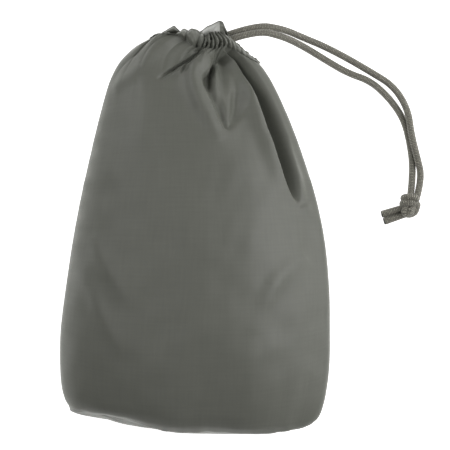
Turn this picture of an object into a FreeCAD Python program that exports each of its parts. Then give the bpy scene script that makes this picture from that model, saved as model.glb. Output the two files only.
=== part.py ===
"""Drawstring laundry bag, lying on its back on a flat surface with its mouth drawn closed.

The frame: +Z is up from the surface, the mouth points along +Y and the foot along -Y. The origin is on the
surface, under the middle of the bag without its free cord. All sizes are in millimetres and degrees.
"""
import FreeCAD, Part
import math
import os
import Sketcher
from FreeCAD import Placement, Rotation, Vector

SHEET = "Dimensions"
PARTS_FOLDER = "parts"
VOLUME_TOLERANCE = 0.01

# Driving dimensions: alias, value.
DRIVING_DIMENSIONS = [
    ("cloth_thickness", 1.2),
    ("seam_height", 30.0),  # the side seams and the mouth's centre lie this high above the surface
    ("seam_allowance_width", 9.0),
    ("seam_allowance_thickness", 1.6),
    ("stitch_offset", 3.0),  # from the cloth's inner face to the row of stitches
    ("thread_width", 0.8),
    ("thread_height", 0.5),
    ("channel_length", 20.0),
    ("back_lip_extra", 3.4),  # the back lip stands this much prouder than the front one
    ("mouth_hole_shift", -9.0),
    ("mouth_hole_half_width", 18.5),
    ("mouth_hole_half_height", 5.0),
    ("cord_diameter", 6.0),
    ("cord_clearance", 0.4),
    ("pull_direction", 20.0),  # the strands leave the channel at this angle from +X
    ("hidden_cord", 15.0),  # straight cord inside the channel, which slides out as it is pulled
    ("knot_half_length", 10.5),
    ("knot_half_width", 8.4),
    ("knot_half_height", 7.6),
    ("knot_wrap_radius", 6.5),
    ("knot_wrap_spacing", 5.2),
    ("tail_length", 23.0),
    ("seal_length", 1.4),
    ("seal_swell", 0.25),
    ("seal_rounding", 0.6),
    ("bartack_length", 5.0),
    ("bartack_width", 1.2),
    ("bartack_height", 0.8),
    ("slab_reach", 600.0),
]

# The bag's sections from foot to mouth: name, centre x, y, half width, half height, tilt about Z.
SECTIONS = [
    ("foot", -1.0, -184.0, 116.5, 34.0, -2.5),
    ("heel", -1.0, -162.0, 124.0, 45.0, -1.5),
    ("belly", 0.0, -113.0, 128.2, 52.0, 0.0),
    ("middle", 2.8, -31.0, 122.0, 55.0, 0.0),
    ("chest", 3.0, 45.0, 107.0, 50.0, 0.0),
    ("shoulder", -1.0, 118.0, 86.0, 39.0, -2.0),
    ("throat", 0.0, 153.0, 68.0, 27.0, -5.7),
    ("mouth", 3.8, 166.3, 41.0, 17.0, -8.0),
]

# The domed base panel, from its seam outwards.
BASE_SECTIONS = [
    SECTIONS[0],
    ("dome", 0.0, -189.0, 109.0, 31.0, -2.5),
    ("sole", 1.0, -189.6, 84.0, 24.0, -2.5),
]

# The cord inside the channel, from the lower strand round the mouth to the upper one, measured from the
# channel's middle: across the mouth, along it, and up from the seams. Its two ends come from the strands.
LOOP_ROUTE = [(2.0, -3.0, 9.0), (-31.5, 0.0, 9.0), (-31.5, 0.0, -9.0), (2.0, 1.5, -9.0)]
LOOP_LEAD = 8.0
LOOP_GAP = 0.3

# Where the free strands leave the channel, then the points that they turn at on the way to the knot.
LOWER_EXIT = (40.0, 181.0, 32.5)
LOWER_ROUTE = [
    (84.0, 182.0, 21.5),
    (104.0, 173.0, 8.5),
    (124.0, 161.0, 3.3),
    (146.0, 148.0, 3.1),
    (168.0, 140.5, 3.1),
    (186.0, 124.0, 3.1),
    (200.0, 104.0, 3.1),
    (206.0, 80.0, 3.1),
    (209.0, 54.5, 3.5),
    (206.0, 29.5, 7.0),
]
UPPER_EXIT = (40.0, 186.5, 26.5)
UPPER_ROUTE = [
    (84.0, 189.5, 16.0),
    (104.0, 181.5, 6.5),
    (124.0, 173.5, 3.3),
    (147.0, 161.5, 3.1),
    (170.0, 148.0, 3.4),
    (190.0, 135.5, 5.0),
    (203.5, 113.5, 8.9),
    (206.8, 89.0, 9.2),
    (212.0, 68.5, 8.5),
    (217.6, 46.5, 5.8),
    (211.0, 25.5, 9.4),
]
EXIT_RUN = 34.0

KNOT_CENTRE = (204.7, 21.2, 9.6)
UPPER_TAIL_START = (201.5, 19.5, 6.8)
UPPER_TAIL_HEADING = (-22.0, -6.7, -3.5)
LOWER_TAIL_START = (203.5, 13.6, 4.6)
LOWER_TAIL_HEADING = (-21.2, -7.8, -1.4)

# Rows of stitches that lock the channel beside the cord's exit: across the mouth, along it, and up.
BARTACKS = [(24.0, 10.0, 6.5), (24.0, 13.4, -11.5)]


def make_sheet(doc):
    """The spreadsheet of driving dimensions, which every bound size reads."""
    sheet = doc.addObject("Spreadsheet::Sheet", SHEET)
    rows = list(DRIVING_DIMENSIONS)
    for name, centre, along, half_width, half_height, tilt in SECTIONS + BASE_SECTIONS[1:]:
        rows += [
            (name + "_centre", centre),
            (name + "_along", along),
            (name + "_half_width", half_width),
            (name + "_half_height", half_height),
            (name + "_tilt", tilt),
        ]
    for row, (alias, value) in enumerate(rows, start=1):
        sheet.set(f"A{row}", alias)
        sheet.set(f"B{row}", str(value))
        sheet.setAlias(f"B{row}", alias)
    doc.recompute()
    return sheet


def size(doc, alias):
    """The value of one driving dimension."""
    return float(getattr(doc.getObject(SHEET), alias))


def bind(thing, **formulas):
    """Binds properties to formulas in which d. stands for the sheet, such as Radius="d.cord_diameter / 2"."""
    for name, formula in formulas.items():
        thing.setExpression(name, formula.replace("d.", SHEET + "."))
    return thing


def combine(doc, kind, name, base, tool):
    """A Part::Cut, Part::Common or Part::Fuse of two objects."""
    made = doc.addObject(kind, name)
    made.Base, made.Tool = base, tool
    if kind == "Part::Fuse":
        made.Refine = True
    return made


def ellipse(doc, name, section, inset="0", along="0"):
    """An ellipse standing across the bag at one of its sections, drawn in by inset and moved along the bag."""
    made = doc.addObject("Part::Ellipse", name)
    heading = f"d.{section}_tilt"
    position = (
        f"vector(d.{section}_centre - sin(1deg * {heading}) * ({along});"
        f" d.{section}_along + cos(1deg * {heading}) * ({along}); d.seam_height)"
    )
    bind(
        made,
        MajorRadius=f"d.{section}_half_width - ({inset})",
        MinorRadius=f"d.{section}_half_height - ({inset})",
        Placement=f"placement({position}; rotationz({heading}) * rotationx(90))",
    )
    return made


def loft(doc, name, rings, ruled=False):
    made = doc.addObject("Part::Loft", name)
    made.Sections = rings
    made.Solid = True
    made.Ruled = ruled
    return made


def slab(doc, name, x=None, y=None, z=None, section=None):
    """A box between two planes, each given as formulas (low, high), and very large in the other directions.
    With a section it is tilted as that section is, and its y counts from there."""
    made = doc.addObject("Part::Box", name)
    low, length = {}, {}
    for axis, span in (("x", x), ("y", y), ("z", z)):
        span = span or ("-d.slab_reach", "d.slab_reach")
        low[axis], length[axis] = span[0], f"({span[1]}) - ({span[0]})"
    bind(made, Length=length["x"], Width=length["y"], Height=length["z"])
    corner = f"vector({low['x']}; {low['y']}; {low['z']})"
    if section:
        turn = f"placement(vector(d.{section}_centre; d.{section}_along; 0); rotationz(d.{section}_tilt))"
        bind(made, Placement=f"{turn} * placement({corner}; rotationz(0))")
    else:
        bind(made, Placement=f"placement({corner}; rotationz(0))")
    return made


def bag_volume(doc, name, inset):
    """The space inside the bag's outer skin drawn in by inset, flattened where it lies on the surface."""
    rings = [ellipse(doc, f"{name}_{section[0]}", section[0], inset) for section in SECTIONS]
    body = loft(doc, name + "_loft", rings)
    above = slab(doc, name + "_above_surface", z=(inset, "d.slab_reach"))
    return combine(doc, "Part::Common", name, body, above)


def base_volume(doc, name, inset):
    """The same for the domed base panel: its sections are drawn in, and moved towards the mouth, by inset."""
    rings = [ellipse(doc, f"{name}_{section[0]}", section[0], inset, inset) for section in BASE_SECTIONS]
    body = loft(doc, name + "_loft", rings)
    above = slab(doc, name + "_above_surface", z=(inset, "d.slab_reach"))
    return combine(doc, "Part::Common", name, body, above)


def make_panels(doc):
    """The front and back panels, which meet at the side seams, and the domed base panel."""
    outer = bag_volume(doc, "bag_outer", "0")
    inner = bag_volume(doc, "bag_inner", "d.cloth_thickness")
    wall = combine(doc, "Part::Cut", "bag_wall", outer, inner)
    front_side = slab(doc, "front_side", z=("d.seam_height", "d.slab_reach"))
    back_side = slab(doc, "back_side", z=("-d.slab_reach", "d.seam_height"))
    front = combine(doc, "Part::Common", "front_panel", wall, front_side)
    back = combine(doc, "Part::Common", "back_panel", wall, back_side)
    base_outer = base_volume(doc, "base_outer", "0")
    base_inner = base_volume(doc, "base_inner", "d.cloth_thickness")
    beyond_seam = slab(doc, "beyond_base_seam", y=("-d.slab_reach", "0"), section="foot")
    dome = combine(doc, "Part::Cut", "base_dome", base_outer, base_inner)
    base = combine(doc, "Part::Common", "base_panel", dome, beyond_seam)
    return inner, [front, back, base]


def make_seams(doc, inner):
    """The seam allowances inside the bag, and the rows of stitches on them."""
    width, half_thick = "d.seam_allowance_width", "d.seam_allowance_thickness / 2"
    core = bag_volume(doc, "allowance_core", f"d.cloth_thickness + {width}")
    row_outer = bag_volume(doc, "stitch_row_outer", "d.cloth_thickness + d.stitch_offset")
    row_inner = bag_volume(
        doc, "stitch_row_inner", "d.cloth_thickness + d.stitch_offset + d.thread_width"
    )
    allowance = combine(doc, "Part::Cut", "allowance_ring", inner, core)
    stitches = combine(doc, "Part::Cut", "stitch_ring", row_outer, row_inner)

    top = f"d.seam_height + {half_thick}"
    allowance_span = (f"d.seam_height - {half_thick}", top)
    thread_span = (top, f"{top} + d.thread_height")
    past_base_seam = "d.seam_allowance_thickness + d.thread_height"
    along = (past_base_seam, "d.slab_reach")

    pieces = []
    for side, across in (("left", ("-d.slab_reach", "0")), ("right", ("0", "d.slab_reach"))):
        seam_slab = slab(doc, side + "_seam_slab", x=across, y=along, z=allowance_span, section="foot")
        thread_slab = slab(doc, side + "_thread_slab", x=across, y=along, z=thread_span, section="foot")
        pieces.append(combine(doc, "Part::Common", side + "_seam_allowance", allowance, seam_slab))
        pieces.append(combine(doc, "Part::Common", side + "_seam_stitching", stitches, thread_slab))

    base_slab = slab(doc, "base_seam_slab", y=("0", "d.seam_allowance_thickness"), section="foot")
    base_thread_slab = slab(
        doc, "base_thread_slab", y=("d.seam_allowance_thickness", past_base_seam), section="foot"
    )
    pieces.append(combine(doc, "Part::Common", "base_seam_allowance", allowance, base_slab))
    pieces.append(combine(doc, "Part::Common", "base_seam_stitching", stitches, base_thread_slab))
    return pieces


def mouth_frame(doc):
    """The channel's own axes: X across the mouth, Y along the bag, with its origin at the channel's middle."""
    tilt = size(doc, "mouth_tilt")
    turn = Rotation(Vector(0, 0, 1), tilt)
    start = Vector(size(doc, "mouth_centre"), size(doc, "mouth_along"), size(doc, "seam_height"))
    return Placement(start + turn.multVec(Vector(0, size(doc, "channel_length") / 2, 0)), turn)


def drum(doc, name, half_width, half_height, low, high, shift="0"):
    """A straight elliptical drum along the mouth's axis, from low to high along the bag."""
    rings = []
    for end, along in (("low", low), ("high", high)):
        ring = doc.addObject("Part::Ellipse", f"{name}_{end}")
        bind(
            ring,
            MajorRadius=half_width,
            MinorRadius=half_height,
            Placement=(
                "placement(vector(d.mouth_centre; d.mouth_along; d.seam_height); rotationz(d.mouth_tilt))"
                f" * placement(vector({shift}; {along}; 0); rotationx(90))"
            ),
        )
        rings.append(ring)
    return loft(doc, name, rings, ruled=True)


def rounded_path(points):
    """A wire of straight runs joined by tangent arcs, each arc as large as its two runs allow."""
    points = [Vector(*p) for p in points]
    edges, radii, here = [], [], points[0]
    for before, corner, after in zip(points, points[1:], points[2:]):
        back, ahead = before - corner, after - corner
        half_turn = (math.pi - back.getAngle(ahead)) / 2
        cut = 0.45 * min(back.Length, ahead.Length)
        radius = cut / math.tan(half_turn)
        back.normalize()
        ahead.normalize()
        start, end = corner + back * cut, corner + ahead * cut
        to_centre = (back + ahead).normalize()
        middle = corner + to_centre * (radius / math.cos(half_turn) - radius)
        edges += [Part.LineSegment(here, start).toShape(), Part.Arc(start, middle, end).toShape()]
        radii.append(radius)
        here = end
    edges.append(Part.LineSegment(here, points[-1]).toShape())
    return Part.Wire(edges), radii


def tube(doc, name, points, radius):
    """A round tube along a rounded path, as a sweep whose circle is bound to the sheet."""
    wire, radii = rounded_path(points)
    path = doc.addObject("Part::Feature", name + "_path")
    path.Shape = wire
    circle = doc.addObject("Part::Circle", name + "_circle")
    heading = Vector(*points[1]) - Vector(*points[0])
    circle.Placement = Placement(Vector(*points[0]), Rotation(Vector(0, 0, 1), heading))
    bind(circle, Radius=radius)
    made = doc.addObject("Part::Sweep", name)
    made.Sections = [circle]
    made.Spine = (path, [f"Edge{i + 1}" for i in range(len(wire.Edges))])
    made.Solid = True
    made.Frenet = False
    doc.recompute()
    expected = math.pi * circle.Radius.Value ** 2 * wire.Length
    if abs(made.Shape.Volume / expected - 1) > VOLUME_TOLERANCE:
        raise RuntimeError(f"{name}: volume {made.Shape.Volume:.1f}, and section times length {expected:.1f}")
    print(f"{name}: {wire.Length:.1f} long, radii {[round(r, 1) for r in radii]}")
    return made


def pull_heading(doc):
    angle = math.radians(size(doc, "pull_direction"))
    return Vector(math.cos(angle), math.sin(angle), 0)


def strand_start(doc, exit_point):
    """The hidden end of a free strand, inside the channel."""
    return Vector(*exit_point) - pull_heading(doc) * size(doc, "hidden_cord")


def strand_points(doc, exit_point, route):
    """A free strand's whole route: straight out of the channel, then its own points."""
    start = strand_start(doc, exit_point)
    return [tuple(start), tuple(start + pull_heading(doc) * EXIT_RUN)] + route


def loop_points(doc):
    """The cord's route inside the channel, from the lower strand's hidden end to the upper one's."""
    heading = pull_heading(doc)
    lead = heading * LOOP_LEAD
    frame = mouth_frame(doc)
    lower = strand_start(doc, LOWER_EXIT) - heading * LOOP_GAP
    upper = strand_start(doc, UPPER_EXIT) - heading * LOOP_GAP
    inside = [tuple(frame.multVec(Vector(*p))) for p in LOOP_ROUTE]
    return [tuple(lower), tuple(lower - lead), *inside, tuple(upper - lead), tuple(upper)]


def make_channel(doc):
    """The drawcord channel round the mouth: a front and a back lip with a tunnel for the cord."""
    hole = drum(
        doc, "mouth_hole", "d.mouth_hole_half_width", "d.mouth_hole_half_height",
        "-1", "d.channel_length + d.back_lip_extra + 1", "d.mouth_hole_shift",
    )
    tunnel = tube(doc, "cord_tunnel", loop_points(doc), "d.cord_diameter / 2")
    for name, exit_point in (("lower_exit", LOWER_EXIT), ("upper_exit", UPPER_EXIT)):
        bore = doc.addObject("Part::Cylinder", name)
        start = strand_start(doc, exit_point) - pull_heading(doc) * LOOP_GAP
        bore.Placement = Placement(start, Rotation(Vector(0, 0, 1), pull_heading(doc)))
        bind(bore, Radius="d.cord_diameter / 2 + d.cord_clearance", Height="3 * d.hidden_cord")
        tunnel = combine(doc, "Part::Fuse", name + "_tunnel", tunnel, bore)
    hollow = combine(doc, "Part::Fuse", "channel_hollow", hole, tunnel)

    lips = []
    sides = (
        ("front", "d.channel_length", ("d.seam_height", "d.slab_reach")),
        ("back", "d.channel_length + d.back_lip_extra", ("-d.slab_reach", "d.seam_height")),
    )
    for side, length, span in sides:
        body = drum(doc, side + "_drum", "d.mouth_half_width", "d.mouth_half_height", "0", length)
        lip = combine(doc, "Part::Cut", side + "_lip", body, hollow)
        half = slab(doc, side + "_lip_side", z=span)
        lips.append(combine(doc, "Part::Common", "channel_" + side, lip, half))
    return lips


def make_channel_stitching(doc):
    """The row of stitches that closes the channel, round the outside of the mouth."""
    low, high = "d.thread_width", "2 * d.thread_width"
    outside = drum(
        doc, "channel_row_outer", "d.mouth_half_width + d.thread_height",
        "d.mouth_half_height + d.thread_height", low, high,
    )
    inside = drum(doc, "channel_row_inner", "d.mouth_half_width", "d.mouth_half_height", "0", "d.channel_length")
    return combine(doc, "Part::Cut", "channel_stitching", outside, inside)


def make_bartacks(doc):
    """The two short bars of stitches beside the cord's exit."""
    frame = mouth_frame(doc)
    bars = []
    for number, place in enumerate(BARTACKS, start=1):
        bar = doc.addObject("Part::Box", f"bartack_{number}")
        bind(bar, Length="d.bartack_width", Width="d.bartack_height", Height="d.bartack_length")
        bar.Placement = frame.multiply(Placement(Vector(*place), Rotation()))
        bars.append(bar)
    both = doc.addObject("Part::Compound", "exit_bartacks")
    both.Links = bars
    return both


def make_cord(doc):
    """The cord: the loop in the channel and the two free strands."""
    radius = "d.cord_diameter / 2"
    return [
        tube(doc, "drawcord_loop", loop_points(doc), radius),
        tube(doc, "drawcord_strand_lower", strand_points(doc, LOWER_EXIT, LOWER_ROUTE), radius),
        tube(doc, "drawcord_strand_upper", strand_points(doc, UPPER_EXIT, UPPER_ROUTE), radius),
    ]


def make_knot(doc):
    """The overhand knot in both strands, as a core with two wraps round it."""
    centre = Vector(*KNOT_CENTRE)
    knot = doc.addObject("Part::Ellipsoid", "knot_core")
    knot.Placement = Placement(centre, Rotation())
    bind(
        knot, Radius1="d.knot_half_height", Radius2="d.knot_half_width", Radius3="d.knot_half_length"
    )
    for number, side in ((1, -0.5), (2, 0.5)):
        wrap = doc.addObject("Part::Torus", f"knot_wrap_{number}")
        offset = Vector(0, side * size(doc, "knot_wrap_spacing"), 0)
        wrap.Placement = Placement(centre + offset, Rotation(Vector(1, 0, 0), 90))
        bind(wrap, Radius1="d.knot_wrap_radius", Radius2="d.cord_diameter / 2")
        name = "drawcord_knot" if number == 2 else "knot_with_wrap"
        knot = combine(doc, "Part::Fuse", name, knot, wrap)
    return knot


def padded_disc(doc, name, place, radius, length):
    """A PartDesign body: one circle, padded along its own Z from place."""
    body = doc.addObject("PartDesign::Body", name)
    flat = next(f for f in body.Origin.OriginFeatures if f.Role == "XY_Plane")
    sketch = body.newObject("Sketcher::SketchObject", name + "_sketch")
    sketch.AttachmentSupport = [(flat, "")]
    sketch.MapMode = "FlatFace"
    sketch.addGeometry(Part.Circle(Vector(0, 0, 0), Vector(0, 0, 1), 1.0), False)
    sketch.addConstraint(Sketcher.Constraint("Coincident", 0, 3, -1, 1))
    sketch.addConstraint(Sketcher.Constraint("Radius", 0, 1.0))
    sketch.renameConstraint(1, "radius")
    bind(sketch, **{"Constraints.radius": radius})
    pad = body.newObject("PartDesign::Pad", name + "_pad")
    pad.Profile = sketch
    bind(pad, Length=length)
    body.Placement = place
    doc.recompute()
    return body, pad


def make_tail(doc, name, start, heading):
    """A short tail of cord past the knot, and the melted seal on its end."""
    direction = Vector(*heading).normalize()
    turn = Rotation(Vector(0, 0, 1), direction)
    tail, _ = padded_disc(
        doc, f"drawcord_tail_{name}", Placement(Vector(*start), turn), "d.cord_diameter / 2", "d.tail_length"
    )
    end = Vector(*start) + direction * size(doc, "tail_length")
    seal, pad = padded_disc(
        doc, f"{name}_tail_seal", Placement(end, turn), "d.cord_diameter / 2 - d.seal_swell", "d.seal_length"
    )
    far_edge = max(range(len(pad.Shape.Edges)), key=lambda i: pad.Shape.Edges[i].CenterOfMass.z)
    rounding = seal.newObject("PartDesign::Fillet", f"{name}_seal_rounding")
    rounding.Base = (pad, [f"Edge{far_edge + 1}"])
    bind(rounding, Radius="d.seal_rounding")
    seal.Tip = rounding
    doc.recompute()
    return [tail, seal]


def export(doc, nodes):
    """Checks every object, then writes each node to its own STEP file."""
    doc.recompute()
    failed = [o.Name for o in doc.Objects if {"Invalid", "Error"} & set(o.State)]
    if failed:
        raise RuntimeError(f"these objects failed: {failed}")
    for node in nodes:
        node.Label = node.Name
        if node.Shape.isNull() or not node.Shape.isValid() or not node.Shape.Solids:
            raise RuntimeError(f"{node.Name} is not a valid solid")
    os.makedirs(PARTS_FOLDER, exist_ok=True)
    for node in nodes:
        node.Shape.exportStep(os.path.join(PARTS_FOLDER, node.Label + ".step"))


def main():
    doc = FreeCAD.newDocument("laundry_bag")
    make_sheet(doc)
    inner, nodes = make_panels(doc)
    nodes += make_seams(doc, inner)
    nodes += make_channel(doc)
    nodes += [make_channel_stitching(doc), make_bartacks(doc)]
    nodes += make_cord(doc)
    nodes.append(make_knot(doc))
    nodes += make_tail(doc, "upper", UPPER_TAIL_START, UPPER_TAIL_HEADING)
    nodes += make_tail(doc, "lower", LOWER_TAIL_START, LOWER_TAIL_HEADING)
    export(doc, nodes)
    return doc, nodes


DOCUMENT, NODES = main()
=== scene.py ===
"""Drawstring laundry bag of coated nylon, lying on its back with its mouth drawn closed by a braided cord.

+Z is up from the surface, the mouth points along +Y, and the origin lies under the middle of the bag without
its free cord. Sizes are in millimetres up to the point where a mesh is made, which is in metres.
"""

import math

import bpy
import numpy as np
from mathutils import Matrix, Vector


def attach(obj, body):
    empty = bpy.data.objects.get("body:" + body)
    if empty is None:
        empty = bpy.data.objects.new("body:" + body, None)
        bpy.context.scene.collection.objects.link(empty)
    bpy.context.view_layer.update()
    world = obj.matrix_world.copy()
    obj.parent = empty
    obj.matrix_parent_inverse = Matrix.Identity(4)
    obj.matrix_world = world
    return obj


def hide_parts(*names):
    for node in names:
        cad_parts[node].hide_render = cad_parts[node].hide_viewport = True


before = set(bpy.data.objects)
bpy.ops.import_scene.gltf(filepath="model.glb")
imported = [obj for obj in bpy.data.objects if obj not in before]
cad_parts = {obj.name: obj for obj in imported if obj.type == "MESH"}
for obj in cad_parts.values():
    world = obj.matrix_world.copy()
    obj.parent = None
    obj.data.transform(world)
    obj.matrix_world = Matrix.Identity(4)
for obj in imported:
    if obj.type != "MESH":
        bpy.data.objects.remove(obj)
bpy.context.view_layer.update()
MM = 0.001
SEAM_HEIGHT, HALF_WIDTH = 30.0, 120.0
FLOOR_GAP = 0.3

# ------------ the cord's facts

CORD_DIAMETER = 6.0
# The braid: diamonds round the cord, and in metres a diamond's half length and how far its yarns stand out.
BRAID_CARRIERS, BRAID_DIAMOND, BRAID_RELIEF = 9, 0.00075, 0.00042
BRAID_STEP, CORD_FLOOR_GAP = 0.0003, 0.0001

# The free strands' routes, from inside the channel to the knot.
LOWER_STRAND = [
    (25.905, 175.870, 32.5),
    (57.854, 187.499, 32.5),
    (84.0, 182.0, 21.5),
    (104.0, 173.0, 8.5),
    (124.0, 161.0, 3.3),
    (146.0, 148.0, 3.1),
    (168.0, 140.5, 3.1),
    (186.0, 124.0, 3.1),
    (200.0, 104.0, 3.1),
    (206.0, 80.0, 3.1),
    (209.0, 54.5, 3.5),
    (206.0, 29.5, 7.0),
]
UPPER_STRAND = [
    (25.905, 181.370, 26.5),
    (57.854, 192.999, 26.5),
    (84.0, 189.5, 16.0),
    (104.0, 181.5, 6.5),
    (124.0, 173.5, 3.3),
    (147.0, 161.5, 3.1),
    (170.0, 148.0, 3.4),
    (190.0, 135.5, 5.0),
    (203.5, 113.5, 8.9),
    (206.8, 89.0, 9.2),
    (212.0, 68.5, 8.5),
    (217.6, 46.5, 5.8),
    (211.0, 25.5, 9.4),
]

# The overhand knot: the middle of the doubled cord, from the knot's centre, and the way that its two strands
# lie apart there.
KNOT_CENTRE = (204.7, 21.2, 9.6)
KNOT_PATH = [
    ((4.0, 9.5, -1.5), (2.6, -1.0, 1.0)),
    ((2.5, 4.0, -1.0), (2.6, -0.6, 1.0)),
    ((-0.5, -2.0, 1.5), (2.7, -0.4, 0.4)),
    ((-2.5, -6.5, 3.0), (2.6, 0.6, 0.6)),
    ((0.5, -8.2, -0.5), (0.6, 1.2, 2.6)),
    ((4.2, -5.6, -1.5), (-1.6, 1.2, 2.4)),
    ((5.2, -0.6, 0.4), (-1.8, 1.6, 2.0)),
    ((7.6, 3.8, 2.8), (-0.6, 2.4, 1.4)),
    ((3.0, 5.6, 5.6), (0.9, 2.7, 0.5)),
    ((-3.0, 5.2, 5.4), (0.6, 2.7, 0.4)),
    ((-6.4, 4.6, 1.0), (0.6, 2.7, -0.2)),
    ((-4.0, 2.6, -5.0), (0.0, 2.8, 0.0)),
    ((3.0, 0.0, -5.6), (-0.4, 2.8, 0.0)),
    ((3.8, -3.0, -3.4), (-1.4, 1.8, 1.6)),
    ((0.0, -3.6, -2.6), (0.0, 2.9, 0.6)),
    ((-6.0, -4.6, -4.4), (-0.6, 3.0, 0.4)),
]
# The tails past the knot: where each starts, and its heading.
TAILS = {
    "upper": ((201.5, 19.5, 6.8), (-22.0, -6.7, -3.5)),
    "lower": ((203.5, 13.6, 4.8), (-21.2, -7.3, -1.3)),
}
TAIL_LENGTH, TAIL_SPREAD = 23.0, 0.09
# A melted end from the tail outwards: each ring's radius, and its height past the tail's end.
SEAL_RINGS = [
    (0.0, 0.4), (2.8, 0.2), (3.2, -0.1), (3.35, 0.4), (3.2, 1.0), (2.7, 1.35), (1.6, 1.2), (0.0, 1.1),
]

# ------------ the cloth's facts

# The bag's rows from the foot seam to the mouth seam: left seam (x, y), right seam (x, y), the front's crest
# (y, z), and the back's lowest line (y, z).
BODY_ROWS = [
    ((-118.5, -173.5), (113.5, -181.0), (-192.5, 57.0), (-190.0, 4.0)),
    ((-120.5, -168.0), (118.0, -178.0), (-190.5, 62.5), (-187.5, 2.2)),
    ((-123.8, -161.0), (121.5, -170.0), (-185.5, 68.0), (-182.0, 1.2)),
    ((-127.0, -148.0), (125.0, -154.0), (-174.5, 74.0), (-172.0, 0.6)),
    ((-128.3, -125.0), (127.8, -130.0), (-150.0, 79.5), (-148.0, 0.4)),
    ((-127.5, -95.0), (128.3, -98.0), (-112.0, 84.0), (-112.0, 0.4)),
    ((-122.5, -55.0), (127.6, -58.0), (-62.0, 85.0), (-62.0, 0.4)),
    ((-116.0, -12.0), (123.5, -14.0), (-14.0, 84.5), (-14.0, 0.4)),
    ((-108.5, 28.0), (115.5, 26.0), (30.0, 81.0), (30.0, 0.4)),
    ((-100.5, 64.0), (104.5, 62.0), (68.0, 76.5), (68.0, 0.4)),
    ((-93.5, 94.0), (93.0, 94.0), (100.0, 70.0), (100.0, 0.6)),
    ((-86.5, 121.0), (82.0, 120.0), (126.0, 63.5), (124.0, 2.0)),
    ((-80.5, 140.0), (72.5, 139.0), (145.0, 57.0), (142.0, 5.0)),
    ((-71.5, 157.0), (66.0, 149.0), (157.5, 53.5), (157.0, 9.0)),
    ((-57.5, 171.0), (63.0, 153.0), (165.0, 51.0), (166.0, 12.0)),
    ((-43.0, 179.5), (61.0, 155.0), (168.0, 50.0), (171.0, 13.0)),
]
# How far the front's mouth seam lies past a straight line between its ends: x, extra y.
MOUTH_LINE = [
    (-43, 0), (-34, 6), (-25, 9), (-16, 7.5), (-8.5, 5), (-3, 1), (7.5, 2.5), (19, 3.5), (29.5, 9),
    (43, 6), (61, 0),
]
# How far the front's foot seam lies towards the mouth from its smooth line: x, extra y.
FOOT_LINE = [
    (-128, 0), (-115, 3.5), (-102, 8.5), (-92, 10.0), (-77, 9.3), (-62, 6.6), (-50, 3.6), (-38, 1.6),
    (-24, 0.6), (0, -1.1), (50, -1.0), (75, -3.0), (95, -2.6), (113, -1.5), (124, 0),
]
# The valleys between the pleats along the mouth seam, and the depth of the pleat that follows each.
FRONT_PLEATS = [
    (-43, 3), (-33, 4), (-24, 4.5), (-9, 5), (1.5, 5), (6.5, 6), (10.5, 7), (14.5, 7.5), (18.5, 7.5),
    (23, 7.5), (27, 6), (31.5, 3), (36.5, 1.6), (40, 1), (44.5, 1.3), (49, 0.9), (53, 1.2), (57, 0.8),
    (61, 0),
]
BACK_PLEATS = [
    (-43, 2), (-38, 1.5), (-14, 3), (-8, 3.4), (-1, 3.4), (5, 1.2), (28, 2), (34, 2.4), (40, 2),
    (47, 1.5), (54, 1), (61, 0),
]
# The lip of the channel: where along the mouth seam, the lip's own x, y and z there, how far the cloth
# arches on its way to it, and how far its middle bows towards +X.
FRONT_LIP = [
    (-43, -43, 180, 31, 1, 0), (-36, -36, 183, 40, 2, 0), (-33, -31, 183.8, 44, 3, 0),
    (-27, -24, 183, 44, 4, 0), (-21, -18, 182.2, 43, 5, 0), (-17, -13.5, 184, 44, 5, 0),
    (-14, -10, 187, 44, 5, 0), (-9, -6.5, 187, 43, 5, 0), (-5, -3, 188.3, 44, 5, 0),
    (0, 3, 187, 44, 5, 0), (3, 8, 184, 43, 5, 0.5), (7.5, 10, 182.5, 43, 4, 0.5),
    (12.5, 12.5, 184, 45, 4, 1), (16.5, 14.5, 185, 46, 4, 1.5), (21, 16.8, 185.5, 46, 4, 2),
    (25.5, 19.5, 185.5, 45, 3, 2.8), (30, 22.5, 184.5, 43, 3, 3), (34, 27, 183.5, 41, 2, 2.5),
    (38, 33, 180, 38, 2, 1), (45.5, 44, 170.5, 34, 1.5, 0), (53, 53.5, 162.5, 32, 1, 0),
    (61, 62, 156.5, 30, 0, 0),
]
BACK_LIP = [
    (-43, -43, 180, 29, 0, 0), (-38, -33.5, 183.5, 34, 6, 0), (-31, -27, 187.8, 36, 10, 0),
    (-25, -19.8, 190.6, 37, 12, 0), (-21, -16.8, 190.2, 37, 11, 0), (-17, -13.6, 186.6, 35, 6, 0),
    (-12, -10.5, 182, 35, -2, 0), (-5, -3, 183, 33, -2, 0), (2, 4, 183, 36, 2, 0),
    (5, 6.2, 186, 41, 14, 0), (9, 10, 190, 42, 17, 0), (16, 18, 192.7, 43, 17, 0),
    (21, 25.3, 195.2, 46, 10, 0), (24, 28.5, 193.5, 46, 3, 1), (26, 29.5, 189, 42, 2, 2),
    (29, 31, 183.5, 38, 1, 1), (38, 36, 178, 34, -1, 0), (45, 45, 169.5, 31, -1, 0),
    (53, 54, 162, 30.5, 0, 0), (61, 62, 156.5, 30, 0, 0),
]
# Pinched spots among the tightest pleats: x, y, depth and half width.
PITS = [
    (15.2, 178, 6, 1.4), (24.7, 175.2, 6, 1.4), (11.5, 173, 5, 1.4), (21.8, 172, 5, 1.4), (9, 183, 4, 1.5),
]

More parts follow.
